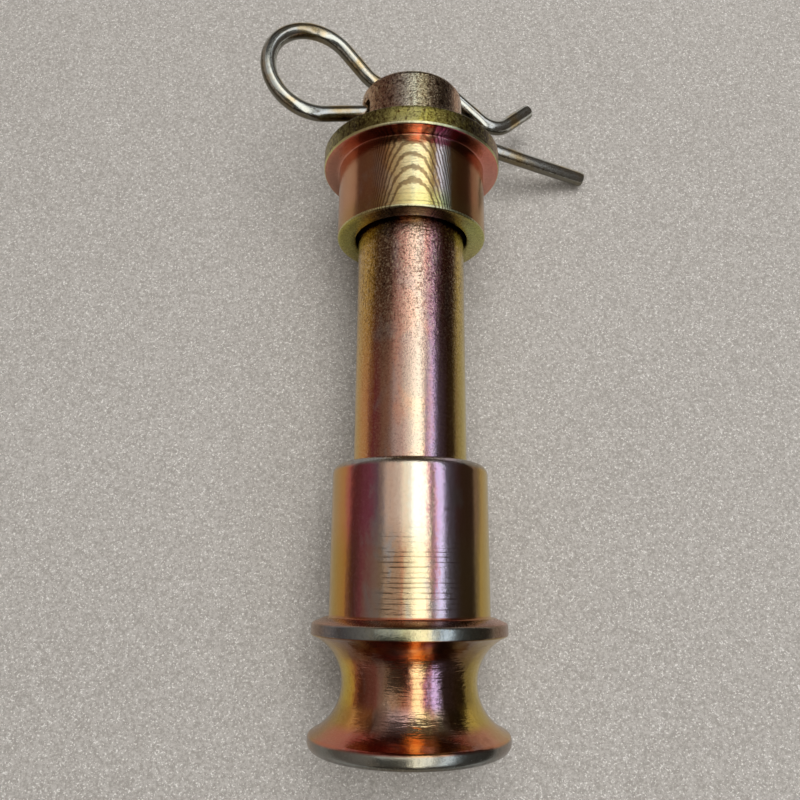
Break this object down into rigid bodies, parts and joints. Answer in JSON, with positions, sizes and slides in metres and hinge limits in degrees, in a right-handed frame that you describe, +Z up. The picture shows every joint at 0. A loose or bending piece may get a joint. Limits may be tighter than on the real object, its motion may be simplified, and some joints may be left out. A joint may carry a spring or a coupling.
{
  "type": "hitch pin",
  "caption": "Drawbar hitch pin with a spool grip, a stepped collar, a loose flanged bush and a wire R-clip through a cross hole near the tip.",
  "frame": {"origin": "centre of the flange face that seats against the bar, on the pin's axis", "axes": "+Y along the pin towards its drilled tip, +Z up as the pin lies on its side"},
  "size_m": [0.084, 0.1678, 0.0433],
  "materials": {
    "pin_plating": "turned steel with a glossy yellow chromate zinc plating, worn to silver on the rims",
    "bush_plating": "turned steel with a glossy yellow chromate zinc plating",
    "spring_wire": "bright zinc-plated spring wire with a pale gold tint"
  },
  "bodies": {
    "pin": {"pin": "pin_plating"},
    "bush": {"flanged_bush": "bush_plating"},
    "clip": {"r_clip": "spring_wire"}
  },
  "joints": [
    {"name": "bush_slide", "type": "slide", "parent": "pin", "child": "bush", "axis": [0, 1, 0], "range_m": [-0.0545, 0.0055]},
    {"name": "clip_pull", "type": "slide", "parent": "pin", "child": "clip", "axis": [-0.923, 0.0886, 0.3745], "range_m": [0, 0.065], "deforming": ["r_clip"]}
  ]
}
